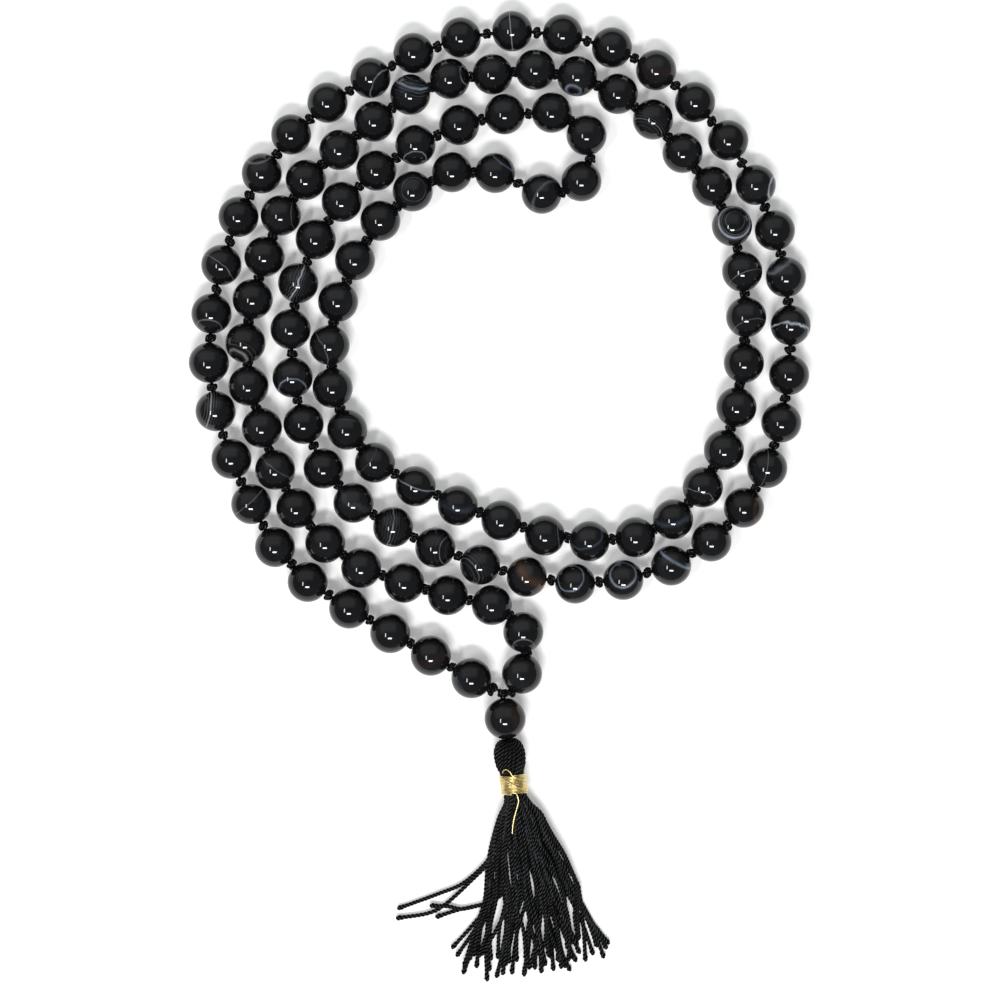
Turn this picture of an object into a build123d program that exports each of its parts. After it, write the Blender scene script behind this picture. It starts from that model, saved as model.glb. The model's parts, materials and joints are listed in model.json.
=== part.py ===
"""Mala: 108 agate beads and a guru bead on a knotted cord, with a tassel bound in gold thread.

The strand lies flat in a double spiral. Z is up and z = 0 is the surface it lies on.
X and Y are zero at the middle of the whole layout, and the tassel points along -Y.
"""
import os

from build123d import *
from math import asin, atan2, copysign, cos, degrees, pi, radians, sin, sqrt, tan

# Beads
BEAD_R = 3.95
GURU_R = 4.05
BORE_R = 0.6
BORE_CHAMFER = 0.2
BEAD_Z = 4.0

# Stringing cord and its knots
CORD_R = 0.4
KNOT_R = 1.15
END_KNOT_R = 0.8
SLIP = 0.1
LARGEST_BEND_R = 12.0
WIDEST_HOLLOW = 4.75

# The cord's route. It turns at a knot, where the lines through the beads on either side cross
ROUTE = [
    (-1.5, -37.0), (-25.3, -23.8), (-41.5, -13.4), (-50.8, 3.4), (-57.0, 22.0), (-56.0, 41.2),
    (-49.3, 60.0), (-37.8, 75.2), (-12.6, 89.7), (7.5, 92.2), (26.8, 87.1), (42.0, 74.6),
    (52.7, 57.2), (57.0, 39.0), (56.4, 19.6), (50.9, 1.8), (38.2, -11.4), (19.5, -17.0),
    (0.6, -14.3), (-16.9, -7.6), (-32.4, 1.8), (-40.2, 19.2), (-41.0, 38.1), (-34.2, 55.2),
    (-20.7, 67.4), (-3.6, 75.2), (14.8, 75.8), (19.2, 66.7), (12.8, 57.8), (-5.4, 65.9),
    (-20.8, 58.4), (-30.7, 43.0), (-34.0, 26.0), (-28.3, 9.6), (-12.4, 0.4), (13.1, -8.4),
    (31.0, -6.9), (42.6, 5.6), (47.5, 22.3), (48.4, 40.2), (44.4, 58.0), (27.1, 77.6),
    (11.2, 84.5), (-13.9, 81.8), (-28.0, 71.3), (-41.1, 59.6), (-47.5, 43.5), (-50.3, 26.4),
    (-42.5, 1.8), (-31.2, -11.8), (-14.4, -17.6), (2.8, -21.5), (6.5, -30.1), (2.3, -37.7),
]
# How many beads each straight run of the route carries
RUN_BEADS = (
    [3] + [2] * 6 + [3] + [2] * 18 + [1, 1] + [2] * 6 + [3] + [2] * 5 + [3, 2, 3]
    + [2] * 4 + [3] + [2] * 3 + [1, 1]
)

# Pendant: junction knot, guru bead and tassel, in line below the strand's two ends
JUNCTION = (0.55, -37.7)
JUNCTION_R = 0.75
PENDANT_TURN = 6.3
GURU_AT = 5.0
NECK_AT = 9.75
NECK_R = 0.6

# Tassel, measured along its own axis from the neck
TASSEL_TURN = 8.0
HEAD_R = 3.2
HEAD_Z = 3.2
HEAD_START = 0.7
HEAD_WIDEST = 3.5
WAIST_R = 2.2
WRAP_START = 6.2
WRAP_LENGTH = 4.0
WRAP_R = 2.65
HEAD_TOP_R = 0.8
HEAD_TOP_TANGENT = (0.35, 1)
WAIST_TANGENT = (1, -0.75)
SKIRT_TOP_Z = 5.2
SKIRT_END_Z = 2.4
SKIRT_LENGTH = 37.0
# The skirt's outline, down one side from the wrap and back up the other: distance below the wrap and across
SKIRT_OUTLINE = [
    (0.0, -2.6), (5.0, -3.8), (10.0, -6.8), (15.5, -10.0), (18.0, -26.0), (22.0, -27.0),
    (24.0, -19.5), (29.0, -17.5), (34.0, -16.0), (36.3, -10.6), (36.8, 3.0), (SKIRT_LENGTH, 6.5),
    (35.5, 13.5), (32.0, 15.0), (23.5, 12.3), (15.0, 9.5), (9.0, 7.2), (0.0, 2.6),
]


def along(turn, distance):
    """A step in the plane, where a turn of 0 is straight down the page and positive is to the right."""
    return (distance * sin(radians(turn)), -distance * cos(radians(turn)))


def plus(point, step):
    return (point[0] + step[0], point[1] + step[1])


def heading(start, end):
    return degrees(atan2(end[1] - start[1], end[0] - start[0]))


def between(start, end, share):
    return (start[0] + (end[0] - start[0]) * share, start[1] + (end[1] - start[1]) * share)


def strand_runs():
    """One entry for each run of the route: its beads' centres and its heading."""
    runs = []
    for start, end, count in zip(ROUTE, ROUTE[1:], RUN_BEADS):
        centres = [between(start, end, (i + 0.5) / count) for i in range(count)]
        runs.append({"centres": centres, "heading": heading(start, end)})
    return runs


def bead(radius):
    """A drilled bead at the origin, with its bore along X and its bore mouths eased."""
    mouth_r = BORE_R + BORE_CHAMFER
    mouth_x = sqrt(radius**2 - mouth_r**2)
    wall_x = mouth_x - BORE_CHAMFER
    outline = Polyline((-mouth_x, mouth_r), (-wall_x, BORE_R), (wall_x, BORE_R), (mouth_x, mouth_r))
    outline += ThreePointArc((mouth_x, mouth_r), (0, radius), (-mouth_x, mouth_r))
    return revolve(make_face(outline), Axis.X).solid()


def bead_groups(runs):
    """The beads of each run turn together on the straight cord they share."""
    pattern = bead(BEAD_R)
    groups, number = {}, 1
    for run in runs:
        last = number + len(run["centres"]) - 1
        name = f"bead_{number:03d}" if last == number else f"beads_{number:03d}_{last:03d}"
        groups[name] = [
            pattern.moved(Location((x, y, BEAD_Z), (0, 0, run["heading"]))) for x, y in run["centres"]
        ]
        number = last + 1
    return groups


def distance(one, other):
    return Vector(other[0] - one[0], other[1] - one[1]).length


def turn_at(before, corner, after):
    """How far the route turns at a corner, and positive is to the left."""
    return (heading(corner, after) - heading(before, corner) + 180) % 360 - 180


def bend_radius(before, corner, after):
    """The arc at a knot fills the room between the two beads beside it."""
    room = min(distance(before, corner), distance(corner, after)) - BEAD_R + BORE_CHAMFER
    return min(LARGEST_BEND_R, room / tan(radians(abs(turn_at(before, corner, after)) / 2)))


def corner_knot(before, spot, after):
    """A round knot, cut flat on both sides so that the beads beside it turn freely.

    Its seam runs down the outside of the bend, clear of the cuts and the cord, so that they join soundly.
    """
    outward = heading(before, after) - copysign(90, turn_at(before, spot, after))
    knot = Location((*spot, BEAD_Z), (0, 0, outward)) * Sphere(KNOT_R)
    for bead_centre in (before, after):
        away = Vector(bead_centre[0] - spot[0], bead_centre[1] - spot[1], 0)
        cut = Vector(*spot, BEAD_Z) + away.normalized() * (away.length - BEAD_R - SLIP)
        knot = split(knot, bisect_by=Plane(origin=cut, z_dir=away), keep=Keep.BOTTOM)
    return knot.solid()


def straight_length(before, after):
    """A straight length from one bead's centre to the next, turned in one piece with its knot."""
    half = distance(before, after) / 2
    hollow_r = BEAD_R + SLIP
    hollow_x = min(half, WIDEST_HOLLOW)
    root_x = hollow_x - sqrt(hollow_r**2 - CORD_R**2)
    rim_x = (KNOT_R**2 + hollow_x**2 - hollow_r**2) / (2 * hollow_x)
    rim_r = sqrt(KNOT_R**2 - rim_x**2)
    middle_r = hollow_r * sin((asin(CORD_R / hollow_r) + asin(rim_r / hollow_r)) / 2)
    middle_x = hollow_x - sqrt(hollow_r**2 - middle_r**2)
    outline = Polyline(
        (-root_x, CORD_R), (-half, CORD_R), (-half, 0), (half, 0), (half, CORD_R), (root_x, CORD_R)
    )
    outline += ThreePointArc((root_x, CORD_R), (middle_x, middle_r), (rim_x, rim_r))
    outline += ThreePointArc((rim_x, rim_r), (0, KNOT_R), (-rim_x, rim_r))
    outline += ThreePointArc((-rim_x, rim_r), (-middle_x, middle_r), (-root_x, CORD_R))
    x, y = between(before, after, 0.5)
    return Location((x, y, BEAD_Z), (0, 0, heading(before, after))) * revolve(make_face(outline), Axis.X)


def turned_length(before, corner, after):
    """A length that turns at its knot, from one bead's centre to the next."""
    spots = [(x, y, BEAD_Z) for x, y in (before, corner, after)]
    path = FilletPolyline(spots, radius=bend_radius(before, corner, after))
    tube = sweep(Plane(origin=path @ 0, z_dir=path % 0) * Circle(CORD_R), path=path)
    share = tube.volume / (pi * CORD_R**2 * path.length)
    return tube + corner_knot(before, corner, after), path.length, share


def end_length(end, bead_centre):
    """The last length at either end, from its bead's centre to the knot at the junction."""
    x, y = between(end, bead_centre, 0.5)
    length = distance(end, bead_centre)
    place = Location((x, y, BEAD_Z), (0, 0, heading(end, bead_centre)))
    knot = Pos(-length / 2, 0, 0) * Sphere(END_KNOT_R)
    return place * (Cylinder(CORD_R, length, rotation=(0, 90, 0)) + knot)


def stringing_cord(runs):
    """The cord as one length for each knot, and the lengths meet face to face inside the beads."""
    first, last = runs[0]["centres"][0], runs[-1]["centres"][-1]
    lengths = [end_length(ROUTE[0], first), end_length(ROUTE[-1], last)]
    total = distance(ROUTE[0], first) + distance(ROUTE[-1], last)
    for run in runs:
        for before, after in zip(run["centres"], run["centres"][1:]):
            lengths.append(straight_length(before, after))
            total += distance(before, after)
    radii, shares = [], []
    for before, corner, after in zip(runs, ROUTE[1:-1], runs[1:]):
        spots = before["centres"][-1], corner, after["centres"][0]
        length, arc_length, share = turned_length(*spots)
        lengths.append(length)
        total += arc_length
        shares.append(share)
        radii.append(bend_radius(*spots))
    print("bend radii at the knots:", [round(radius, 1) for radius in radii])
    print(f"cord {total:.1f} mm, volume / (section x length) {min(shares):.4f} to {max(shares):.4f}")
    return [solid for length in lengths for solid in length.solids()]


def pendant_frame(distance, z=BEAD_Z):
    """A place down the pendant from the junction, with local X pointing down it."""
    x, y = plus(JUNCTION, along(PENDANT_TURN, distance))
    return Location((x, y, z), (0, 0, PENDANT_TURN - 90))


def guru_cord():
    """The two cord tails as one cord through the guru bead, from the junction knot to the neck."""
    start = JUNCTION_R + SLIP
    length = NECK_AT - NECK_R - SLIP - start
    return pendant_frame(start + length / 2) * Cylinder(CORD_R, length, rotation=(0, 90, 0))


def tassel_frame(distance, z):
    """A place down the tassel from the neck, with local X pointing down it."""
    neck = plus(JUNCTION, along(PENDANT_TURN, NECK_AT))
    x, y = plus(neck, along(TASSEL_TURN, distance))
    return Location((x, y, z), (0, 0, TASSEL_TURN - 90))


def tassel_threads():
    """The folded head, the bound waist and the fanned skirt of one bundle of threads."""
    waist_end = WRAP_START + WRAP_LENGTH
    outline = Polyline((HEAD_START, 0), (HEAD_START, HEAD_TOP_R))
    outline += Spline(
        (HEAD_START, HEAD_TOP_R), (HEAD_WIDEST, HEAD_R), (WRAP_START, WAIST_R),
        tangents=(HEAD_TOP_TANGENT, WAIST_TANGENT),
    )
    outline += Polyline((WRAP_START, WAIST_R), (waist_end, WAIST_R), (waist_end, 0), (HEAD_START, 0))
    head = revolve(make_face(outline), Axis.X)
    skirt = extrude(fan_outline(waist_end), SKIRT_TOP_Z)
    slope = degrees(atan2(SKIRT_TOP_Z - SKIRT_END_Z, SKIRT_LENGTH))
    cutter = Location((waist_end, 0, SKIRT_TOP_Z), (0, slope, 0)) * Box(
        3 * SKIRT_LENGTH, 4 * SKIRT_LENGTH, 2 * SKIRT_TOP_Z, align=(Align.CENTER, Align.CENTER, Align.MIN)
    )
    skirt = skirt - cutter
    return tassel_frame(0, HEAD_Z) * head + tassel_frame(0, 0) * skirt


def fan_outline(start):
    return make_face(Polyline(*[(start + down, across) for down, across in SKIRT_OUTLINE], close=True))


def gold_wrap():
    """The ring of gold thread wound round the waist."""
    outside = Cylinder(WRAP_R, WRAP_LENGTH, rotation=(0, 90, 0))
    inside = Cylinder(WAIST_R, WRAP_LENGTH, rotation=(0, 90, 0))
    return tassel_frame(WRAP_START + WRAP_LENGTH / 2, HEAD_Z) * (outside - inside)


def build():
    runs = strand_runs()
    junction = Pos(*JUNCTION, BEAD_Z) * Sphere(JUNCTION_R)
    neck = pendant_frame(NECK_AT) * Sphere(NECK_R)
    parts = {
        "stringing_cord": stringing_cord(runs),
        "junction_knot": [junction],
        "guru_cord": [guru_cord()],
        "guru_bead": [pendant_frame(GURU_AT, GURU_R) * bead(GURU_R)],
        "tassel_tie": [neck],
        "tassel_threads": [tassel_threads()],
        "gold_wrap": [gold_wrap()],
    }
    parts.update(bead_groups(runs))
    return parts


os.makedirs("parts", exist_ok=True)
for name, solids in build().items():
    shape = solids[0] if len(solids) == 1 else Compound(children=solids)
    export_step(shape, f"parts/{name}.step")
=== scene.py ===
"""Mala prayer beads: the looks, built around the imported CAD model.

Lengths are in metres, in the CAD model's own frame: +Z is up and the tassel points along -Y.
"""
import json
import math
import random

import bpy
import numpy as np
from mathutils import Matrix, Vector


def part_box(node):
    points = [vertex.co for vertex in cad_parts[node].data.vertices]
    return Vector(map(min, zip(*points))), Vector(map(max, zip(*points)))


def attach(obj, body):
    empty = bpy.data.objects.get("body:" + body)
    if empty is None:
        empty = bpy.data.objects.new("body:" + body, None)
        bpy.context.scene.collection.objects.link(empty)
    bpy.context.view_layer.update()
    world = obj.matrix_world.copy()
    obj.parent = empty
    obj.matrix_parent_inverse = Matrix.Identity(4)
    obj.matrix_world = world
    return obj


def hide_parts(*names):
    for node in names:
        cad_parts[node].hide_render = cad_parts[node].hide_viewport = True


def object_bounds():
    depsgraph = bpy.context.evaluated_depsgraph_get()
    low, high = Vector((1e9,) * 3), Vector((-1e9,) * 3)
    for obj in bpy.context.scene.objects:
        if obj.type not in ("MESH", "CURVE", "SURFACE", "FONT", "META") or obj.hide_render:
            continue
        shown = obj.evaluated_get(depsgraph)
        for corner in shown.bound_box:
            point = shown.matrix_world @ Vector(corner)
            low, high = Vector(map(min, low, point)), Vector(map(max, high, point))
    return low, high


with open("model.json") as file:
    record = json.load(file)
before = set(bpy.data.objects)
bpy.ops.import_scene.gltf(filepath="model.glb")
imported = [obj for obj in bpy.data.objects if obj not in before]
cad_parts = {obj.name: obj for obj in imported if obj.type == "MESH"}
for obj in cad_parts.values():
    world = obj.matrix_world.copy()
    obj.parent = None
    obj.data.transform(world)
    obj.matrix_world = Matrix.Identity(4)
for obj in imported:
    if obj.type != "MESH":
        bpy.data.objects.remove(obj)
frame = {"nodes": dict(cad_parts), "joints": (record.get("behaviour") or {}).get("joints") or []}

CAD_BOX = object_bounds()
MM = 0.001

# ---------------------------------------------------------------- sizes

CORD_R = 0.4 * MM
CORD_STEP = 0.2 * MM
CORD_PITCH = 1.9 * MM
CORD_GROOVE = 0.16
BORE_R = 0.6 * MM
BORE_EASE = 0.2 * MM
CLEARANCE = 0.03 * MM
TAIL_R = 0.27 * MM
TAIL_STEP = 0.25 * MM
TAIL_PITCH = 1.5 * MM
TAIL_START = 0.6 * MM
TAIL_END = 0.5 * MM

# Knots: the scale of each kind's trefoil, which is about a third of its reach
KNOT_SCALE = 0.27 * MM
FIRST_END_KNOT = 0.36 * MM
LAST_END_KNOT = 0.22 * MM
JUNCTION_KNOT = 0.3 * MM
NECK_KNOT = 0.12 * MM
KNOT_PITCH = 1.8 * MM
KNOT_POINTS = 72
KNOT_PIECES = 6
KNOT_SIZES = (0.92, 1.08)
KNOT_LEAN = 0.35
END_LEAN = 0.2

THREAD_R = 0.45 * MM
THREAD_STEP = 0.16 * MM
THREAD_PITCHES = (1.9, 2.7)
THREAD_GROOVE = 0.4
HEAD_THREADS = 20
SKIRT_PIECES = 4
SLOT_R = 1.75 * MM

# The hard tip of a thread: how much thicker it is, how far from the end, over what length, and its rounding
TIP_BULGE = 0.32
TIP_PLACE = 0.6 * MM
TIP_SPREAD = 0.7 * MM
TIP_ROUNDING = 0.4 * MM

GOLD_R = 0.14 * MM
GOLD_STEP = 0.12 * MM
GOLD_PITCH = 0.9 * MM

# The gold thread's close turns: the step between two in thread radii, the points in each, how uneven they
# are, and how far they tilt for each unit of their radius
GOLD_TURN_STEP = 2.05
GOLD_TURN_POINTS = 40
GOLD_UNEVENNESS = 0.05 * MM
GOLD_TILT = 0.1

# The cord's route: the same points as the CAD model's
ROUTE = [
    (-0.0015, -0.0370), (-0.0253, -0.0238), (-0.0415, -0.0134), (-0.0508, 0.0034), (-0.0570, 0.0220),
    (-0.0560, 0.0412), (-0.0493, 0.0600), (-0.0378, 0.0752), (-0.0126, 0.0897), (0.0075, 0.0922),
    (0.0268, 0.0871), (0.0420, 0.0746), (0.0527, 0.0572), (0.0570, 0.0390), (0.0564, 0.0196),
    (0.0509, 0.0018), (0.0382, -0.0114), (0.0195, -0.0170), (0.0006, -0.0143), (-0.0169, -0.0076),
    (-0.0324, 0.0018), (-0.0402, 0.0192), (-0.0410, 0.0381), (-0.0342, 0.0552), (-0.0207, 0.0674),
    (-0.0036, 0.0752), (0.0148, 0.0758), (0.0192, 0.0667), (0.0128, 0.0578), (-0.0054, 0.0659),
    (-0.0208, 0.0584), (-0.0307, 0.0430), (-0.0340, 0.0260), (-0.0283, 0.0096), (-0.0124, 0.0004),
    (0.0131, -0.0084), (0.0310, -0.0069), (0.0426, 0.0056), (0.0475, 0.0223), (0.0484, 0.0402),
    (0.0444, 0.0580), (0.0271, 0.0776), (0.0112, 0.0845), (-0.0139, 0.0818), (-0.0280, 0.0713),
    (-0.0411, 0.0596), (-0.0475, 0.0435), (-0.0503, 0.0264), (-0.0425, 0.0018), (-0.0312, -0.0118),
    (-0.0144, -0.0176), (0.0028, -0.0215), (0.0065, -0.0301), (0.0023, -0.0377),
]

# The tassel's threads, given in millimetres below the gold wrap and across from its axis:
# the four stray threads, the two edges of the skirt, and where its threads end
STRAYS = [
    [(4.4, -3.6), (8.5, -5.3), (12.2, -7.0), (16.1, -12.4), (17.6, -17.7), (19.4, -26.1)],
    [(4.4, -3.4), (8.5, -5.0), (12.6, -6.9), (15.8, -10.8), (19.7, -16.4), (21.1, -20.2), (21.2, -26.6)],
    [(6.0, -3.2), (12.0, -4.6), (17.5, -5.0), (20.1, -6.4), (21.2, -12.8), (20.3, -16.1), (19.6, -19.7)],
    [(6.0, -2.9), (12.0, -4.3), (18.0, -5.4), (20.5, -7.6), (21.3, -14.3), (22.1, -18.9)],
]
SKIRT_LEFT = [(0.5, -2.1), (4.4, -3.9), (8.5, -5.6), (12.6, -6.9), (19.8, -8.2)]
SKIRT_RIGHT = [(0.5, 2.1), (4.0, 4.4), (7.9, 6.1), (12.0, 7.8), (14.8, 8.3), (21.8, 10.9)]
SKIRT_ENDS = [
    (28.6, -16.6), (30.3, -15.9), (33.9, -15.1), (31.5, -13.6), (33.1, -12.3), (36.0, -10.6), (34.0, -9.8),
    (35.6, -8.7), (33.5, -6.7), (35.3, -5.6), (36.0, -3.3), (34.4, -2.4), (35.0, -1.0), (35.9, 0.2),
    (34.6, 1.2), (35.8, 2.6), (34.2, 3.8), (35.5, 5.0), (36.3, 5.9), (34.7, 7.3), (33.2, 8.2), (34.8, 9.1),
    (33.8, 10.8), (32.4, 11.8), (34.7, 12.8), (32.1, 14.2), (29.5, 12.6), (33.0, 13.6),
]

JOINTS = {joint["name"]: joint for joint in frame["joints"]}


# ---------------------------------------------------------------- small tools

def mesh_object(name, vertices, faces, crests, material, body):
    """A smooth mesh piece that rides on a body.

    crests says how near each point is to the crest of its ply: 1 on a crest, 0 in a groove.
    """
    mesh = bpy.data.meshes.new(name)
    mesh.from_pydata([tuple(v) for v in vertices], [], faces)
    mesh.validate()
    mesh.polygons.foreach_set("use_smooth", [True] * len(mesh.polygons))
    mesh.attributes.new("crest", "FLOAT", "POINT").data.foreach_set("value", crests)
    mesh.materials.append(material)
    obj = bpy.data.objects.new(name, mesh)
    bpy.context.scene.collection.objects.link(obj)
    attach(obj, body)
    return obj


class Bundle:
    """Gathers several surfaces into one piece."""

    def __init__(self):
        self.vertices, self.faces, self.crests = [], [], []

    def add(self, vertices, faces, crests):
        start = len(self.vertices)
        self.vertices.extend(vertices)
        self.crests.extend(crests)
        self.faces.extend([tuple(start + i for i in face) for face in faces])

    def piece(self, name, material, body):
        return mesh_object(name, self.vertices, self.faces, self.crests, material, body)


def evened(points, step):
    """The same line with its points a step apart."""
    points = np.asarray(points, float)
    lengths = np.r_[0, np.cumsum(np.linalg.norm(np.diff(points, axis=0), axis=1))]
    count = max(3, int(lengths[-1] / step) + 1)
    places = np.linspace(0, lengths[-1], count)
    return np.column_stack([np.interp(places, lengths, points[:, k]) for k in range(3)])


def smooth_line(controls, per_run=12):
    """A smooth line through a few points (Catmull-Rom)."""
    p = np.asarray(controls, float)
    p = np.vstack([2 * p[0] - p[1], p, 2 * p[-1] - p[-2]])
    line = []
    for a, b, c, d in zip(p, p[1:], p[2:], p[3:]):
        for t in np.arange(per_run) / per_run:
            line.append(0.5 * (2 * b + (c - a) * t + (2 * a - 5 * b + 4 * c - d) * t**2
                               + (3 * b - a - 3 * c + d) * t**3))
    line.append(p[-2])
    return np.array(line)


def twisted_tube(points, radius, pitch, plies=3, sides=15, groove=0.2, phase=0.0, closed=False):
    """A twisted cord along a line: the section has a lobe for each ply, and turns along the length.

    radius is one number, or one for each point. The last list returned is 1 on a ply's crest, 0 in a groove.
    """
    points = np.asarray(points, float)
    count = len(points)
    radii = np.full(count, radius) if np.isscalar(radius) else np.asarray(radius)
    if closed:
        tangents = np.roll(points, -1, axis=0) - np.roll(points, 1, axis=0)
    else:
        tangents = np.gradient(points, axis=0)
    tangents /= np.linalg.norm(tangents, axis=1)[:, None]
    side = np.cross(tangents[0], (0.0, 0.0, 1.0))
    if np.linalg.norm(side) < 0.1:
        side = np.cross(tangents[0], (1.0, 0.0, 0.0))
    angles = np.linspace(0, 2 * math.pi, sides, endpoint=False)
    travelled, rings, crests = 0.0, [], []
    for i in range(count):
        if i:
            travelled += np.linalg.norm(points[i] - points[i - 1])
        side = side - tangents[i] * side.dot(tangents[i])
        side /= np.linalg.norm(side)
        up = np.cross(side, tangents[i])
        turn = 2 * math.pi * travelled / pitch + phase
        crest = 0.5 + 0.5 * np.cos(plies * (angles - turn))
        crests.extend(crest)
        lobes = radii[i] * (1 - groove * (1 - crest))
        round_line = np.cos(angles)[:, None] * side + np.sin(angles)[:, None] * up
        rings.append(points[i] + lobes[:, None] * round_line)
    vertices = [v for ring in rings for v in ring]
    faces = []
    for i in range(count if closed else count - 1):
        j = (i + 1) % count
        for k in range(sides):
            m = (k + 1) % sides
            faces.append((i * sides + k, i * sides + m, j * sides + m, j * sides + k))
    if not closed:
        faces.append(tuple(range(sides))[::-1])
        faces.append(tuple((count - 1) * sides + k for k in range(sides)))
    return vertices, faces, crests


# ---------------------------------------------------------------- materials

# Bands are placed in bead radii: their widths are narrowed, and their strengths toned down, all alike
BAND_UNIT = 3.95 * MM
BAND_NARROWING = 0.55
BAND_SHARE = 0.62
BAND_FADE = (-0.35, 1.75)

# Fine lines beside a band: how sharp and strong they are, how many spacings they reach, the spacing from
# which there are none, and one over two pi
FINE_SHARPNESS = 14.0
FINE_STRENGTH = 0.6
FINE_REACH = 2.2
FINE_LIMIT = 0.2
FINE_ONSET = 20
ONE_TURN = 0.159

AGATE_BLACK = (0.0035, 0.0035, 0.004, 1)
AGATE_CLOUD = (0.03, 0.031, 0.034, 1)
AGATE_WHITE = (0.62, 0.63, 0.64, 1)
AGATE_BLUE = (0.26, 0.38, 0.58, 1)
AGATE_BROWN = (0.16, 0.075, 0.035, 1)
AGATE_ROUGHNESS = (0.03, 0.075)
AGATE_IOR = 1.42
CLOUD_SHARPNESS = 4.0
# The cord's and thread's second colours are a painted glint, laid on the crest of each ply
CORD_DARK, CORD_GLINT = (0.0015, 0.0015, 0.0018, 1), (0.028, 0.029, 0.031, 1)
THREAD_DARK, THREAD_GLINT = (0.0008, 0.0008, 0.001, 1), (0.055, 0.057, 0.06, 1)
GOLD_BRIGHT, GOLD_TARNISHED = (0.98, 0.84, 0.43, 1), (0.72, 0.54, 0.2, 1)
FLOOR_DARK, FLOOR_PALE = (0.83, 0.83, 0.82, 1), (0.87, 0.87, 0.865, 1)


class Nodes:
    """Short names for building a node material."""

    def __init__(self, name):
        self.material = bpy.data.materials.new(name)
        self.material.use_nodes = True
        self.tree = self.material.node_tree
        self.shader = self.tree.nodes["Principled BSDF"]

    def put(self, value, socket):
        if isinstance(value, bpy.types.NodeSocket):
            self.tree.links.new(value, socket)
        else:
            socket.default_value = value

    def math(self, operation, a, b=0.0):
        node = self.tree.nodes.new("ShaderNodeMath")
        node.operation = operation
        self.put(a, node.inputs[0])
        self.put(b, node.inputs[1])
        return node.outputs[0]

    def place(self):
        return self.tree.nodes.new("ShaderNodeTexCoord").outputs["Object"]

    def noise(self, place, scale, detail=3.0, offset=None):
        node = self.tree.nodes.new("ShaderNodeTexNoise")
        if offset is not None:
            node.noise_dimensions = "4D"
            self.put(offset, node.inputs["W"])
        self.put(place, node.inputs["Vector"])
        node.inputs["Scale"].default_value = scale
        node.inputs["Detail"].default_value = detail
        return node.outputs["Fac"]

    def attribute(self, name, kind="OBJECT"):
        node = self.tree.nodes.new("ShaderNodeAttribute")
        node.attribute_type = kind
        node.attribute_name = name
        return node

    def dot(self, a, b):
        node = self.tree.nodes.new("ShaderNodeVectorMath")
        node.operation = "DOT_PRODUCT"
        self.put(a, node.inputs[0])
        self.put(b, node.inputs[1])
        return node.outputs["Value"]

    def mix(self, share, a, b):
        node = self.tree.nodes.new("ShaderNodeMix")
        node.data_type = "RGBA"
        self.put(share, node.inputs["Factor"])
        self.put(a, node.inputs["A"])
        self.put(b, node.inputs["B"])
        return node.outputs["Result"]

    def spread(self, value, low, high):
        """value from 0..1 to low..high"""
        return self.math("ADD", self.math("MULTIPLY", value, high - low), low)

    def bump(self, height, strength, distance):
        node = self.tree.nodes.new("ShaderNodeBump")
        node.inputs["Strength"].default_value = strength
        node.inputs["Distance"].default_value = distance
        self.put(height, node.inputs["Height"])
        self.put(node.outputs["Normal"], self.shader.inputs["Normal"])

    def finish(self, **values):
        for name, value in values.items():
            self.put(value, self.shader.inputs[name.replace("_", " ")])
        return self.material


def bell(nodes, value):
    """exp(-value squared)"""
    return nodes.math("EXPONENT", nodes.math("MULTIPLY", nodes.math("MULTIPLY", value, value), -1.0))


def parts(nodes, name):
    """The three numbers of an object's own property, for the material."""
    node = nodes.tree.nodes.new("ShaderNodeSeparateXYZ")
    nodes.put(nodes.attribute(name).outputs["Vector"], node.inputs[0])
    return node.outputs


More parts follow.
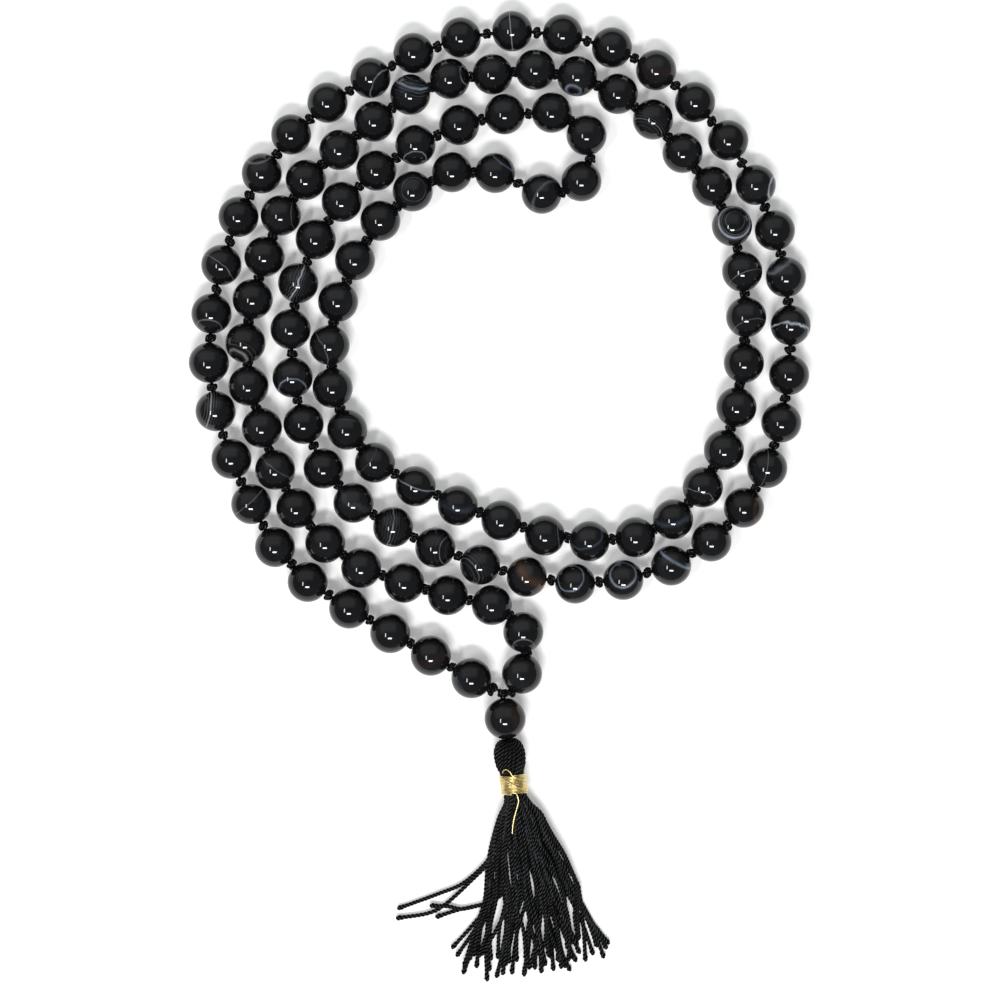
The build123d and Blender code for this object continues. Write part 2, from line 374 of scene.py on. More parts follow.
def agate_material():
    """Polished black agate. Each bead's own properties place its pale bands."""
    n = Nodes("agate")
    place = n.place()
    seed = n.attribute("band_seed").outputs["Fac"]
    normal = n.attribute("band_normal").outputs["Vector"]
    offset, width, spacing = parts(n, "band_shape")
    strength, tint, warp = parts(n, "band_look")
    width = n.math("MULTIPLY", width, BAND_NARROWING)
    # how far a point is through the layers of the stone, in bead radii, with the layers wandering a little
    wander = n.math("SUBTRACT", n.noise(place, scale=260.0, detail=4.0, offset=seed), 0.5)
    through = n.math("SUBTRACT", n.math("MULTIPLY", n.dot(place, normal), 1 / BAND_UNIT), offset)
    through = n.math("ADD", through, n.math("MULTIPLY", wander, warp))
    main = bell(n, n.math("DIVIDE", through, width))
    # the fine lines beside the band, which are there only where their spacing is under the limit
    wave = n.math("COSINE", n.math("DIVIDE", through, n.math("MULTIPLY", spacing, ONE_TURN)))
    fine = n.math("POWER", n.math("MAXIMUM", wave, 0.0), FINE_SHARPNESS)
    reach = bell(n, n.math("DIVIDE", through, n.math("MULTIPLY", spacing, FINE_REACH)))
    onset = n.math("MULTIPLY", n.math("SUBTRACT", FINE_LIMIT, spacing), FINE_ONSET)
    several = n.math("MINIMUM", n.math("MAXIMUM", onset, 0), 1)
    fine = n.math("MULTIPLY", n.math("MULTIPLY", fine, reach), n.math("MULTIPLY", several, FINE_STRENGTH))
    # both fade in and out along the layer
    along = n.noise(place, scale=330.0, detail=3.0, offset=seed)
    fade = n.math("MAXIMUM", n.spread(along, *BAND_FADE), 0.0)
    band = n.math("MULTIPLY", n.math("MULTIPLY", n.math("MAXIMUM", main, fine), strength), fade)
    band = n.math("MINIMUM", n.math("MULTIPLY", band, BAND_SHARE), 1.0)
    cloud = n.math("POWER", n.noise(place, scale=190.0, detail=5.0, offset=seed), CLOUD_SHARPNESS)
    black = n.mix(cloud, AGATE_BLACK, AGATE_CLOUD)
    cool = n.mix(n.math("MAXIMUM", tint, 0.0), AGATE_WHITE, AGATE_BLUE)
    layer = n.mix(n.math("MAXIMUM", n.math("MULTIPLY", tint, -1.0), 0.0), cool, AGATE_BROWN)
    rough = n.spread(n.noise(place, scale=900.0, detail=4.0, offset=seed), *AGATE_ROUGHNESS)
    return n.finish(Base_Color=n.mix(band, black, layer), Roughness=rough, IOR=AGATE_IOR)


def fibre_material(name, dark, pale, low, high):
    """Twisted black cord or thread with fine fibres in its bump, and a painted glint: its colour turns pale
    on the crest of each ply and stays black in the grooves, a painted highlight with painted shade between.

    low and high are its least and greatest roughness.
    """
    n = Nodes(name)
    place = n.place()
    fibres = n.noise(place, scale=5200.0, detail=6.0)
    # noise for the roughness and for how strong the painted glint is
    wear_and_glint = n.noise(place, scale=700.0, detail=4.0)
    # painted glint: the colour turns pale towards each ply's crest, leaving the grooves dark as painted shade
    crest = n.math("POWER", n.attribute("crest", "GEOMETRY").outputs["Fac"], 4.0)
    lit = n.math("MULTIPLY", crest, n.math("MULTIPLY", wear_and_glint, 1.6))
    colour = n.mix(n.math("MINIMUM", lit, 1.0), dark, pale)
    height = n.math("ADD", fibres, n.noise(place, scale=1400.0, detail=3.0))
    n.bump(height, strength=0.3, distance=0.03 * MM)
    shine = n.math("MULTIPLY", crest, 0.45)
    return n.finish(Base_Color=colour, Roughness=n.spread(wear_and_glint, low, high), Specular_IOR_Level=shine)


def gold_material():
    """Metallic thread: foil round a core, with bright and tarnished stretches."""
    n = Nodes("gold_thread")
    place = n.place()
    foil = n.noise(place, scale=4200.0, detail=4.0)
    tarnish = n.noise(place, scale=1100.0, detail=3.0)
    colour = n.mix(tarnish, GOLD_BRIGHT, GOLD_TARNISHED)
    n.bump(foil, strength=0.45, distance=0.04 * MM)
    return n.finish(Base_Color=colour, Metallic=1.0, Roughness=n.spread(foil, 0.2, 0.48))


def floor_material():
    """A matt white table top with a faint tooth, which glows a little as a light table does."""
    n = Nodes("pale_floor")
    grain = n.noise(n.place(), scale=300.0, detail=6.0)
    colour = n.mix(grain, FLOOR_DARK, FLOOR_PALE)
    n.bump(grain, strength=0.05, distance=0.1 * MM)
    return n.finish(Base_Color=colour, Roughness=0.85, Emission_Color=colour, Emission_Strength=0.3)


AGATE = agate_material()
CORD = fibre_material("waxed_cord", CORD_DARK, CORD_GLINT, low=0.35, high=0.6)
THREAD = fibre_material("tassel_thread", THREAD_DARK, THREAD_GLINT, low=0.3, high=0.5)
GOLD = gold_material()


# ---------------------------------------------------------------- camera and cord

CAMERA_HEIGHT = 0.5465
CAMERA_SHIFT = 0.1 * MM
CURVE_STEPS = 24
END_LOOK = 12
FULL_TURN = 6.28


def make_camera():
    """Straight down on the layout, whose length fills the picture."""
    data = bpy.data.cameras.new("camera")
    data.lens = 100
    data.sensor_width = 36
    camera = bpy.data.objects.new("camera", data)
    camera.location = (CAMERA_SHIFT, 0.0, CAMERA_HEIGHT)
    bpy.context.scene.collection.objects.link(camera)
    bpy.context.scene.camera = camera


def bead_places():
    """Each bead's number, node, centre and bore direction, in order along the cord, from the CAD nodes.

    A node of one bead, such as bead_108, gives a bead's own reach along its bore. The beads of a longer node
    are spread evenly between its two ends.
    """
    places = []
    low, high = along_axis("bead_108")
    reach = (high - low) / 2
    for node in sorted(n for n in frame["nodes"] if n.startswith("bead")):
        numbers = [int(part) for part in node.split("_")[1:]]
        first, last = numbers[0], numbers[-1]
        low, high = along_axis(node)
        joint = JOINTS["spin_" + node]
        middle, axis = Vector(joint["pos_m"]), Vector(joint["axis"])
        count = last - first + 1
        span = high - low - 2 * reach
        for i in range(count):
            share = i / (count - 1) - 0.5 if count > 1 else 0.0
            places.append((first + i, node, middle + axis * span * share, axis))
    return sorted(places, key=lambda place: place[0])


def along_axis(node):
    """The lowest and highest reach of a bead node along its own joint's axis."""
    joint = JOINTS["spin_" + node]
    middle, axis = Vector(joint["pos_m"]), Vector(joint["axis"])
    reaches = [(v.co - middle).dot(axis) for v in frame["nodes"][node].data.vertices]
    return min(reaches), max(reaches)


def cord_line(height):
    """The points of the cord's smooth line, read from its NURBS curve."""
    data = bpy.data.curves.new("route", "CURVE")
    data.dimensions = "3D"
    spline = data.splines.new("NURBS")
    spline.points.add(len(ROUTE) - 1)
    for point, (x, y) in zip(spline.points, ROUTE):
        point.co = (x, y, height, 1)
    spline.order_u = 3
    spline.use_endpoint_u = True
    spline.resolution_u = CURVE_STEPS
    curve = bpy.data.objects.new("route", data)
    bpy.context.scene.collection.objects.link(curve)
    mesh = bpy.data.meshes.new_from_object(curve)
    points = np.array([tuple(v.co) for v in mesh.vertices])
    bpy.data.objects.remove(curve)
    bpy.data.meshes.remove(mesh)
    return points


def pressed(vertices, beads, radius, bore):
    """Vertices moved clear of the beads: off their outsides, or inside the radius bore if that is given."""
    v = np.array(vertices)
    for _, _, centre, axis in beads:
        c, a = np.array(centre), np.array(axis)
        near = np.linalg.norm(v - c, axis=1) < radius + CLEARANCE
        if not near.any():
            continue
        offset = v[near] - c
        reach = offset @ a
        radial = offset - reach[:, None] * a
        if bore:
            size = np.linalg.norm(radial, axis=1)
            shrink = np.minimum(1.0, bore / np.maximum(size, 1e-9))
            v[near] = c + reach[:, None] * a + radial * shrink[:, None]
        else:
            size = np.linalg.norm(offset, axis=1)
            v[near] = c + offset * ((radius + CLEARANCE) / np.maximum(size, 1e-9))[:, None]
    return v


def knot_shape(scale, spin, lean, centre, along):
    """A tight overhand knot round the cord: the closed line of a trefoil, seen side on."""
    t = np.linspace(0, 2 * math.pi, KNOT_POINTS, endpoint=False)
    ring = np.column_stack([
        -np.sin(3 * t) * 1.5, np.sin(t) + 2 * np.sin(2 * t), np.cos(t) - 2 * np.cos(2 * t),
    ]) * scale
    c, s = math.cos(spin), math.sin(spin)
    ring = ring @ np.array([[1, 0, 0], [0, c, -s], [0, s, c]])
    c, s = math.cos(lean), math.sin(lean)
    ring = ring @ np.array([[c, -s, 0], [s, c, 0], [0, 0, 1]])
    forward = np.array(along)
    side = np.cross((0, 0, 1), forward)
    basis = np.array([forward, side, (0, 0, 1)])
    line = np.array(centre) + ring @ basis
    return twisted_tube(line, CORD_R, KNOT_PITCH, groove=CORD_GROOVE, closed=True)


def make_cord(beads):
    """The stringing cord and its knots, pressed against the beads on either side."""
    rng = random.Random(108)
    line = cord_line(beads[0][2].z)
    path = evened(line, CORD_STEP)
    vertices, faces, crests = twisted_tube(path, CORD_R, CORD_PITCH, groove=CORD_GROOVE)
    vertices = pressed(vertices, beads, BEAD_RADIUS, BORE_R - CLEARANCE)
    cord = mesh_object("stringing_cord_twist", vertices, faces, crests, CORD, "strand")
    knots = []
    for one, other in zip(beads, beads[1:]):
        middle = (np.array(one[2]) + np.array(other[2])) / 2
        nearest = int(np.argmin(np.linalg.norm(path - middle, axis=1)))
        nearest = min(max(nearest, 1), len(path) - 2)
        forward = path[nearest + 1] - path[nearest - 1]
        forward /= np.linalg.norm(forward)
        scale = KNOT_SCALE * rng.uniform(*KNOT_SIZES)
        spin = rng.uniform(0, FULL_TURN)
        lean = rng.uniform(-KNOT_LEAN, KNOT_LEAN)
        shape = knot_shape(scale, spin, lean, path[nearest], forward)
        knots.append((pressed(shape[0], (one, other), BEAD_RADIUS, None), *shape[1:]))
    for end, inner, scale in ((0, END_LOOK, FIRST_END_KNOT), (-1, -1 - END_LOOK, LAST_END_KNOT)):
        toward = path[end] - path[inner]
        toward /= np.linalg.norm(toward)
        shape = knot_shape(scale, rng.uniform(0, FULL_TURN), END_LEAN, path[end], toward)
        knots.append((pressed(shape[0], (beads[end],), BEAD_RADIUS, None), *shape[1:]))
    share = math.ceil(len(knots) / KNOT_PIECES)
    for part in range(KNOT_PIECES):
        bundle = Bundle()
        for shape in knots[part * share:(part + 1) * share]:
            bundle.add(*shape)
        knot_piece = bundle.piece(f"cord_knots_{part + 1}", CORD, "strand")
    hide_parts("stringing_cord")


# ---------------------------------------------------------------- beads

# Pale layers by bead number: the layer's direction as seen from above (degrees from +X), how far it is
# tipped towards the viewer (90 shows a straight line, 0 shows rings), its place and width in bead radii, the
# spacing of the fine lines beside it (0.2 or more means there are none), its strength, its tint (1 blue,
# 0 white, -1 brown) and how much it wanders
BANDS = {
    1: (30, 70, -0.3, 0.03, 0.2, 0.25, 0.8, 0.2), 2: (120, 60, 0.2, 0.4, 0.3, 0.12, -1, 0.4),
    7: (132, 80, 0.2, 0.03, 0.2, 0.5, 0.1, 0.15), 9: (172, 75, 0.4, 0.05, 0.13, 1.1, 0.1, 0.12),
    11: (-95, 60, 0.78, 0.04, 0.2, 0.4, 0.2, 0.15), 12: (-125, 70, 0.3, 0.03, 0.35, 0.5, 0.1, 0.45),
    14: (100, 60, 0.82, 0.06, 0.25, 0.45, -0.2, 0.1), 17: (-35, 70, 0.62, 0.04, 0.2, 0.6, 0.2, 0.4),
    20: (5, 88, -0.05, 0.035, 0.3, 0.8, 0.1, 0.1), 23: (70, 60, 0.3, 0.4, 0.3, 0.1, -1, 0.4),
    26: (-12, 70, 0.84, 0.05, 0.25, 1.2, 0.25, 0.15), 28: (125, 60, 0.82, 0.12, 0.25, 0.3, 0.3, 0.5),
    29: (-98, 78, 0.2, 0.08, 0.3, 1.4, 0.35, 1.1), 32: (170, 80, 0.25, 0.03, 0.2, 0.3, 0.1, 0.1),
    33: (-5, 70, 0.75, 0.12, 0.2, 0.55, -1, 0.1), 35: (60, 75, 0.45, 0.11, 0.3, 0.8, 0.7, 0.2),
    36: (100, 20, 0.76, 0.07, 0.2, 0.75, 0.5, 0.15), 37: (130, 30, 0.75, 0.05, 0.2, 0.6, 0.6, 0.25),
    38: (40, 60, 0.5, 0.35, 0.3, 0.5, -1, 0.5), 39: (-150, 60, 0.7, 0.03, 0.15, 0.4, 0.3, 0.1),
    40: (-10, 60, 0.7, 0.03, 0.18, 0.4, 0.2, 0.15), 41: (172, 80, 0.15, 0.05, 0.15, 0.7, 0.3, 0.5),
    42: (60, 60, 0.4, 0.2, 0.3, 0.08, 0.5, 0.9), 45: (-88, 50, 0.72, 0.05, 0.25, 0.7, 0.7, 0.2),
    47: (158, 70, 0.25, 0.07, 0.14, 1.3, 0.3, 0.75), 51: (-88, 60, 0.85, 0.03, 0.2, 0.55, 0.2, 0.3),
    57: (-40, 55, 0.4, 0.12, 0.2, 0.22, 0.1, 0.4), 58: (50, 70, 0.75, 0.06, 0.2, 0.4, 0.8, 0.2),
    60: (0, 5, 0.8, 0.04, 0.1, 0.15, 0.3, 0.1), 64: (-160, 80, 0.45, 0.03, 0.2, 0.45, 0.1, 0.5),
    66: (-95, 60, 0.0, 0.04, 0.2, 0.1, 0.2, 0.2), 67: (150, 70, 0.5, 0.04, 0.2, 0.14, 0.2, 0.4),
    68: (70, 75, 0.15, 0.06, 0.2, 0.7, 0.5, 0.25), 69: (80, 60, 0.3, 0.25, 0.3, 0.1, 0.9, 0.4),
    71: (5, 85, 0.7, 0.03, 0.2, 0.25, 0.1, 0.1), 72: (120, 35, 0.6, 0.08, 0.2, 0.2, 0.9, 0.3),
    74: (100, 60, 0.3, 0.2, 0.3, 0.14, 0.9, 0.4), 75: (-115, 70, 0.6, 0.03, 0.25, 0.5, 0.2, 0.8),
    79: (-75, 65, 0.6, 0.03, 0.25, 0.35, 0.2, 0.15),
    80: (-68, 70, 0.45, 0.03, 0.25, 0.45, 0.3, 0.15), 81: (60, 12, 0.62, 0.1, 0.13, 1.2, 0.35, 0.06),
    84: (-120, 70, 0.6, 0.03, 0.12, 0.55, 0.1, 0.15), 86: (-105, 60, 0.93, 0.05, 0.3, 0.7, 0.6, 0.1),
    89: (8, 60, 0.88, 0.03, 0.2, 0.45, 0.3, 0.1), 90: (78, 65, 0.6, 0.09, 0.15, 1.0, 0.6, 0.3),
    92: (-80, 20, 0.3, 0.03, 0.2, 0.25, 0.3, 0.05), 94: (0, 80, 0.7, 0.025, 0.2, 0.3, 0.2, 0.1),
    97: (-115, 60, 0.88, 0.06, 0.16, 0.85, -0.5, 0.2), 100: (50, 75, 0.3, 0.06, 0.12, 0.16, 0.1, 0.6),
    107: (-90, 50, 0.85, 0.03, 0.2, 0.35, 0.2, 0.05),
}
PLAIN = (35, 60, 0.5, 0.04, 0.25, 0.0, 0.2, 0.3)
GURU_BAND = (10, 65, 0.8, 0.25, 0.3, 0.12, -1, 0.3)
SEED_STEP = 1.7
GURU_SEED = 3.1


def bead_mesh(name, radius):
    """A drilled bead with its bore along X, lathed from a fine profile whose mouths are eased."""
    around, across = 72, 48
    mouth = BORE_R + BORE_EASE
    start = math.asin(mouth / radius)
    profile = []
    for i in range(across + 1):
        angle = start + (math.pi - 2 * start) * i / across
        profile.append((-radius * math.cos(angle), radius * math.sin(angle)))
    reach = math.sqrt(radius**2 - mouth**2)
    for share in (0.35, 0.7, 1.0):
        profile.append((reach - BORE_EASE * share, mouth - BORE_EASE * math.sin(share * math.pi / 2)))
    profile.append((0.0, BORE_R))
    for share in (1.0, 0.7, 0.35):
        profile.append((-reach + BORE_EASE * share, mouth - BORE_EASE * math.sin(share * math.pi / 2)))
    vertices, faces = [], []
    rings = len(profile)
    for k in range(around):
        angle = 2 * math.pi * k / around
        for x, r in profile:
            vertices.append((x, r * math.cos(angle), r * math.sin(angle)))
    for k in range(around):
        m = (k + 1) % around
        for i in range(rings):
            j = (i + 1) % rings
            faces.append((k * rings + i, k * rings + j, m * rings + j, m * rings + i))
    mesh = bpy.data.meshes.new(name)
    mesh.from_pydata(vertices, [], faces)
    mesh.polygons.foreach_set("use_smooth", [True] * len(mesh.polygons))
    mesh.materials.append(AGATE)
    return mesh


def make_bead(name, mesh, centre, axis, band, seed, body, node):
    """One bead, whose properties tell the agate material where its bands are."""
    bead = bpy.data.objects.new(name, mesh)
    heading = math.atan2(axis[1], axis[0])
    bead.location = centre
    bead.rotation_euler = (0, 0, heading)
    direction, tip, offset, width, spacing, strength, tint, warp = band
    azimuth, tip = math.radians(direction) - heading, math.radians(tip)
    bead["band_normal"] = [
        math.sin(tip) * math.cos(azimuth), math.sin(tip) * math.sin(azimuth), math.cos(tip),
    ]
    bead["band_shape"] = [float(offset), float(width), float(spacing)]
    bead["band_look"] = [float(strength), float(tint), float(warp)]
    bead["band_seed"] = float(seed)
    bpy.context.scene.collection.objects.link(bead)
    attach(bead, body)
    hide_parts(node)


def make_beads(beads):
    """The 108 beads, each on the body of its node, and the guru bead."""
    mesh = bead_mesh("bead", BEAD_RADIUS)
    for number, node, centre, axis in beads:
        band = BANDS.get(number, PLAIN)
        make_bead(f"agate_bead_{number:03d}", mesh, centre, axis, band, number * SEED_STEP, node, node)
    low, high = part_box("guru_bead")
    guru = bead_mesh("guru", (high.z - low.z) / 2)
    axis = Vector(JOINTS["guru_spin"]["axis"])
    make_bead("agate_guru", guru, (low + high) / 2, axis, GURU_BAND, GURU_SEED, "guru", "guru_bead")


# ---------------------------------------------------------------- pendant and tassel

def centre_of(node):
    """The middle of a CAD node's box."""
    low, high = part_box(node)
    return np.array((low + high) / 2)


def make_pendant_cords():
    """The knot where the strand's ends meet, the tails through the guru bead and the tie below it."""
    junction, neck = centre_of("junction_knot"), centre_of("tassel_tie")
    down = (neck - junction) / np.linalg.norm(neck - junction)
    low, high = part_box("guru_bead")
    guru = [(0, "", (low + high) / 2, Vector(JOINTS["guru_spin"]["axis"]))]
    vertices, faces, crests = knot_shape(JUNCTION_KNOT, spin=0.6, lean=0.2, centre=junction, along=down)
    vertices = pressed(vertices, guru, (high.z - low.z) / 2, None)
    knot = mesh_object("junction_twist", vertices, faces, crests, CORD, "junction")
    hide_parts("junction_knot")
    tails = Bundle()
    across = np.cross(down, (0, 0, 1)) * TAIL_R
    for side in (-1, 1):
        ends = [junction + down * TAIL_START + side * across, neck - down * TAIL_END + side * across]
        tails.add(*twisted_tube(evened(ends, TAIL_STEP), TAIL_R, TAIL_PITCH))
    tail_piece = tails.piece("guru_tails", CORD, "pendant")
    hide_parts("guru_cord")
    shape = knot_shape(NECK_KNOT, spin=0.2, lean=0.1, centre=neck, along=down)
    tie = mesh_object("neck_tie", *shape, CORD, "tie")
    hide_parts("tassel_tie")


class TasselFrame:
    """Places on the tassel: distance down from the neck, across, and height above the floor."""

    def __init__(self):
        self.neck = centre_of("tassel_tie")
        wrap = centre_of("gold_wrap")
        self.down = wrap - self.neck
        self.down[2] = 0
        self.down /= np.linalg.norm(self.down)
        self.across = np.array([-self.down[1], self.down[0], 0.0])
        low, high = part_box("gold_wrap")
        self.wrap_z = (low.z + high.z) / 2
        self.wrap_r = (high.z - low.z) / 2
        corners = [v.co for v in frame["nodes"]["gold_wrap"].data.vertices]
        reaches = [(np.array(c) - self.neck) @ self.down for c in corners]
        self.wrap_start, self.wrap_end = min(reaches), max(reaches)

    def at(self, down, across, z):
        point = self.neck + self.down * down + self.across * across
        return np.array((point[0], point[1], z))


# Below the wrap, in millimetres: where a thread reaches the floor, how far down the skirt is placed and how
# much it wanders there, and the length from which a thread wanders once more
FLOOR_REACHED = 24.0
SKIRT_LEVELS = ((4.5, 0.3), (9.0, 0.5), (14.0, 0.8), (20.0, 1.1))
LONG_THREAD = 27

# The upper layers of the skirt: each one's number, how narrow it is beside the lowest layer, and which of
# that layer's ends it repeats. They end a little higher and wander, in millimetres, and lie a step apart
UPPER_LAYERS = ((1, 0.9, SKIRT_ENDS[2:24:2]), (2, 0.72, SKIRT_ENDS[2:24]))
UPPER_SHORTER = (0.5, 3.5)
UPPER_WANDER = 1.6
LAYER_STEP = 0.75
LAYER_WANDER = 0.4

# How far a thread strays from its even place between the skirt's edges, as a share of the skirt's width
PLACE_WANDER = 0.14

# The head's outline in millimetres, down from the neck and the radius there, and how far its threads turn
# on the way down, in radians for each millimetre
HEAD_SHAPE = [(-0.25, 0.7), (-0.25, 1.4), (0.5, 2.25), (2.1, 2.75), (4.2, 2.6), (5.7, 2.05), (7.6, 1.7)]
HEAD_TURN = 0.1

# The core that fills the head and waist, in the same way
CORE_SHAPE = [(0.6, 1.3), (2.2, 2.45), (4.2, 2.2), (6.0, 1.7), (12.0, 1.6)]


def edge_at(edge, down):
    """How far across an edge of the skirt is at a distance below the wrap, in millimetres."""
    return float(np.interp(down, [d for d, _ in edge], [a for _, a in edge]))


def hanging_line(tassel, spots, slot_angle, slot_r, layer):
    """One thread's line from inside the wrap through the given spots, down onto the floor.

    slot_angle and slot_r are its place in the waist, and layer is how far above the floor it comes to lie.
    """
    start = tassel.wrap_end
    waist_across = slot_r * math.sin(slot_angle)
    waist_z = tassel.wrap_z + slot_r * math.cos(slot_angle)
    rest = THREAD_R + layer
    controls = [
        tassel.at(start - 2.0 * MM, waist_across, waist_z),
        tassel.at(start + 0.5 * MM, waist_across * 1.1, waist_z),
    ]
    for down, across in spots:
        z = waist_z + (rest - waist_z) * math.sin(0.5 * math.pi * min(1.0, down / FLOOR_REACHED))
        controls.append(tassel.at(start + down * MM, across * MM, z))
    return evened(smooth_line(controls), THREAD_STEP)


def skirt_spots(rng, place, down, across):
    """Where one thread of the skirt goes: between its two edges, wandering more towards the end."""
    spots = []
    for level, wander in SKIRT_LEVELS:
        left, right = edge_at(SKIRT_LEFT, level), edge_at(SKIRT_RIGHT, level)
        spots.append((level, left + (right - left) * place + rng.uniform(-wander, wander)))
    if down > LONG_THREAD:
        middle = (SKIRT_LEVELS[-1][0] + down) / 2
        spots.append((middle, (spots[-1][1] + across) / 2 + rng.uniform(-1.0, 1.0)))
    return spots + [(down, across)]


def thread_radii(path):
    """Even along the thread, with a hard melted tip a little thicker than the rest."""
    step = np.linalg.norm(np.diff(path, axis=0), axis=1).mean()
    left = np.arange(len(path))[::-1] * step
    bulge = 1 + TIP_BULGE * np.exp(-((left - TIP_PLACE) / TIP_SPREAD) ** 2)
    rounded = np.sqrt(np.clip(left / TIP_ROUNDING, 0.3, 1.0))
    return THREAD_R * bulge * rounded


def twisted_thread(rng, path, radius):
    """One thread along a path, with its own tightness of twist and its own start."""
    pitch = -rng.uniform(*THREAD_PITCHES) * MM
    return twisted_tube(path, radius, pitch, groove=THREAD_GROOVE, phase=rng.uniform(0, 6))


def make_skirt(tassel):
    """The fanned ends of the threads, in a few bundles."""
    rng = random.Random(7)
    ends = [(d, a, 0) for d, a in SKIRT_ENDS]
    for level, narrowness, repeated in UPPER_LAYERS:
        for d, a in repeated:
            down = d - rng.uniform(*UPPER_SHORTER)
            across = a * narrowness + rng.uniform(-UPPER_WANDER, UPPER_WANDER)
            ends.append((down, across, level))
    ends.sort(key=lambda end: end[1])
    bundles = [Bundle() for _ in range(SKIRT_PIECES)]
    threads = [(spots, 0) for spots in STRAYS]
    for i, (down, across, level) in enumerate(ends):
        place = (i + 0.5) / len(ends) + rng.uniform(-PLACE_WANDER, PLACE_WANDER)
        place = min(max(place, 0.02), 0.98)
        threads.append((skirt_spots(rng, place, down, across), level))
    for i, (spots, level) in enumerate(threads):
        spot = (i + 0.5) / len(threads)
        slot_r = SLOT_R * math.sqrt(rng.uniform(0.15, 1.0))
        slot_angle = math.pi * (spot - 0.5)
        if not level and not i % 2:
            # every other thread of the lowest layer comes from the under side of the waist
            slot_angle = math.pi - slot_angle
        layer = (level * LAYER_STEP + rng.uniform(0.0, LAYER_WANDER)) * MM
        path = hanging_line(tassel, spots, slot_angle, slot_r, layer)
        bundles[int(spot * SKIRT_PIECES)].add(*twisted_thread(rng, path, thread_radii(path)))
    for number, bundle in enumerate(bundles):
        piece = bundle.piece(f"tassel_skirt_{number + 1}", THREAD, "tassel")
        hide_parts("tassel_threads")


def make_head(tassel):
    """The threads folded over the tie: each comes out at the neck, round the bulge and in to the waist."""
    rng = random.Random(11)
    bundle = Bundle()
    for i in range(HEAD_THREADS):
        angle = 2 * math.pi * i / HEAD_THREADS + rng.uniform(-0.05, 0.05)
        controls = []
        for down, r in HEAD_SHAPE:
            turn = angle - HEAD_TURN * down
            r *= rng.uniform(0.985, 1.015)
            z = tassel.wrap_z + r * MM * math.cos(turn)
            controls.append(tassel.at(down * MM, r * MM * math.sin(turn), z))
        path = evened(smooth_line(controls), THREAD_STEP)
        bundle.add(*twisted_thread(rng, path, THREAD_R))
    core_downs, core_radii = zip(*CORE_SHAPE)
    first, last = core_downs[0], core_downs[-1]
    core = evened([tassel.at(d * MM, 0, tassel.wrap_z) for d in (first, last)], 0.3 * MM)
    radii = np.interp(np.linspace(first, last, len(core)), core_downs, core_radii) * MM
    bundle.add(*twisted_tube(core, radii, pitch=40 * MM, plies=14, sides=56, groove=0.12))
    head = bundle.piece("tassel_head", THREAD, "tassel")
    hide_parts("tassel_threads")


def gold_thread(line, phase=0.0):
    """Two-ply metallic thread along a line."""
    return twisted_tube(line, GOLD_R, GOLD_PITCH, plies=2, sides=8, groove=0.25, phase=phase)


def make_gold(tassel):
    """The gold thread: close turns round the waist, a strand across them, a loose curl and a free tail."""
    rng = random.Random(5)
    start, end = tassel.wrap_start + GOLD_R, tassel.wrap_end - GOLD_R
    turns = (end - start) / (GOLD_TURN_STEP * GOLD_R)
    line = []
    for t in np.linspace(0, 1, int(turns * GOLD_TURN_POINTS)):
        angle = 2 * math.pi * turns * t
        r = tassel.wrap_r - GOLD_R + GOLD_UNEVENNESS * math.sin(5 * angle + 9 * t)
        down = start + (end - start) * t + GOLD_TILT * r * math.sin(angle)
        line.append(tassel.at(down, r * math.sin(angle), tassel.wrap_z + r * math.cos(angle)))
    bundle = Bundle()
    bundle.add(*gold_thread(line))
    top = tassel.wrap_z + tassel.wrap_r
    first, last = tassel.wrap_start / MM, tassel.wrap_end / MM
    # down from the neck, across from the axis and above the top of the turns, in millimetres
    strand_across = [
        (first + 0.2, -2.1, -1.0), (first + 1.1, -1.2, 0.05), (first + 2.3, 0.4, 0.3),
        (last - 0.4, 1.9, -0.7),
    ]
    loose_curl = [
        (first - 0.6, -1.75, -0.5), (first - 1.0, -1.6, -0.2), (first - 1.2, -1.0, 0.1),
        (first - 0.7, -0.4, 0.35), (first + 0.1, 0.0, 0.3), (first + 0.8, 0.8, 0.1), (first + 1.3, 1.5, -0.4),
    ]
    free_tail = [
        (last - 0.9, 0.1, 0.1), (last - 0.2, 0.3, 0.2), (last + 0.6, 0.5, 0.1), (last + 1.6, 0.4, -0.1),
        (last + 3.7, -0.5, -0.3), (last + 5.6, -1.2, -0.5), (last + 7.4, -1.6, -0.7),
    ]
    for controls in (strand_across, loose_curl, free_tail):
        points = [tassel.at(d * MM, a * MM, top + z * MM) for d, a, z in controls]
        path = evened(smooth_line(points), GOLD_STEP)
        bundle.add(*gold_thread(path, phase=rng.uniform(0, 6)))
    gold = bundle.piece("gold_binding", GOLD, "tassel")
    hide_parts("gold_wrap")


# ---------------------------------------------------------------- floor and light

FLOOR_REACH = 1.5
SIDE, FRONT, BACK = (-0.42, -0.17, 0.88), (-0.01, -0.47, 0.86), (-0.2, 0.62, 0.76)
STRIP_DISTANCE = 1.6
BACK_DISTANCE = 1.7
BACK_GAP = 0.02
BACK_SIZES = ((2.4, 1.3), (3.3, 1.9), (4.3, 2.5))
BACK_RADIANCE = 0.17
ROOM_COLOUR = (0.9, 0.95, 1.0, 1)
ROOM_STRENGTH = 0.2


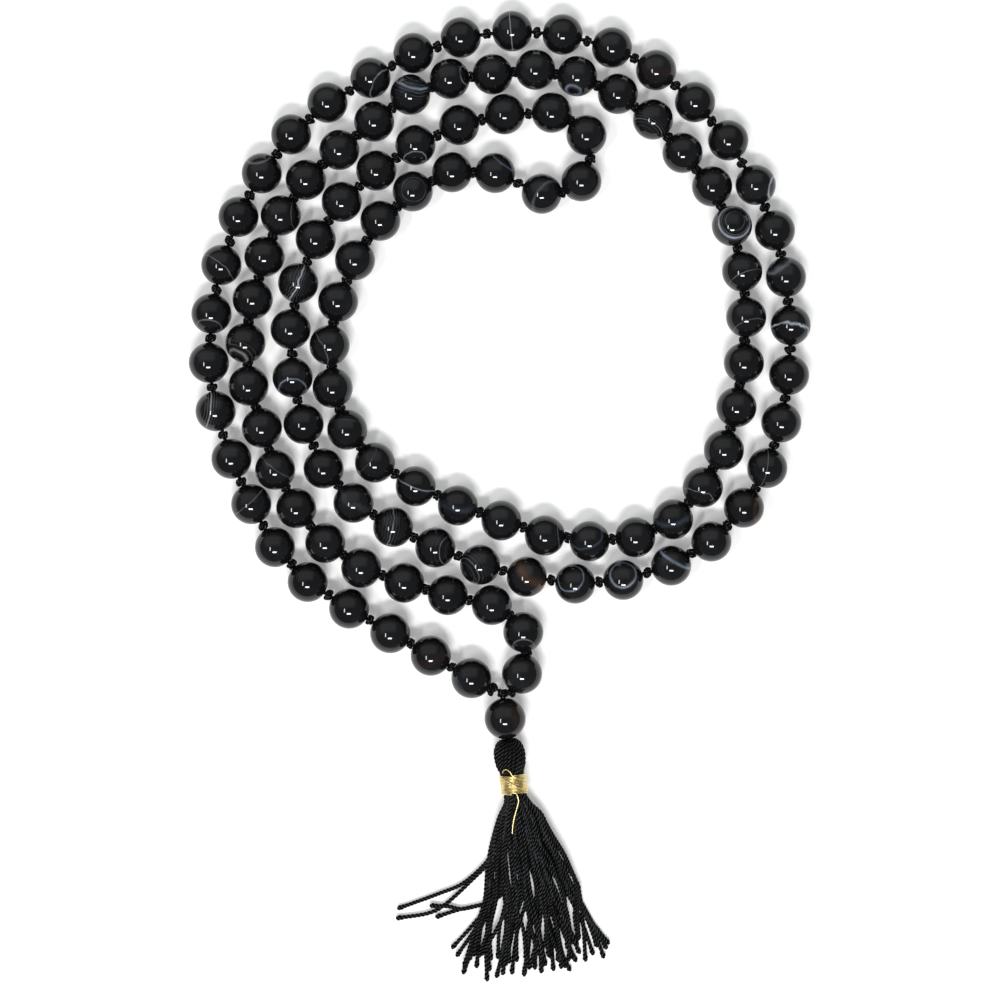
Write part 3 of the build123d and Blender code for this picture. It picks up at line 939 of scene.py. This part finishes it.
def make_floor():
    """A wide table top, level with the underside of the CAD model."""
    low = CAD_BOX[0]
    mesh = bpy.data.meshes.new("floor")
    side = FLOOR_REACH
    corners = [(-side, -side), (side, -side), (side, side), (-side, side)]
    mesh.from_pydata([(x, y, low[2]) for x, y in corners], [], [(0, 1, 2, 3)])
    mesh.materials.append(floor_material())
    floor = bpy.data.objects.new("floor", mesh)
    bpy.context.scene.collection.objects.link(floor)


def soft_light(name, direction, distance, width, height, radiance):
    """A flat soft box facing the object, with its width along X."""
    data = bpy.data.lights.new(name, "AREA")
    data.shape = "RECTANGLE"
    data.size, data.size_y = width, height
    data.energy = radiance * math.pi * width * height
    light = bpy.data.objects.new(name, data)
    light.location = Vector(direction).normalized() * distance
    away = Vector(direction).normalized()
    side = (Vector((1, 0, 0)) - away * away.x).normalized()
    light.rotation_euler = Matrix((side, away.cross(side), away)).transposed().to_euler()
    bpy.context.scene.collection.objects.link(light)


def make_lights():
    """Two strip boxes high overhead, three nested dim boxes at the back, and a pale room."""
    soft_light("side_strip", SIDE, STRIP_DISTANCE, width=0.14, height=0.55, radiance=26)
    soft_light("front_strip", FRONT, STRIP_DISTANCE, width=0.6, height=0.22, radiance=46)
    for number, (width, height) in enumerate(BACK_SIZES):
        distance = BACK_DISTANCE + BACK_GAP * number
        soft_light(f"back_box_{number + 1}", BACK, distance, width, height, BACK_RADIANCE)
    world = bpy.data.worlds.new("room")
    world.use_nodes = True
    background = world.node_tree.nodes["Background"]
    background.inputs["Color"].default_value = ROOM_COLOUR
    background.inputs["Strength"].default_value = ROOM_STRENGTH
    bpy.context.scene.world = world
    bpy.context.scene.view_settings.view_transform = "Standard"


# ---------------------------------------------------------------- all of it

BEAD_RADIUS = (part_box("bead_107")[1].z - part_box("bead_107")[0].z) / 2
make_camera()
BEADS = bead_places()
make_cord(BEADS)
make_beads(BEADS)
make_pendant_cords()
TASSEL = TasselFrame()
make_skirt(TASSEL)
make_head(TASSEL)
make_gold(TASSEL)
make_floor()
make_lights()
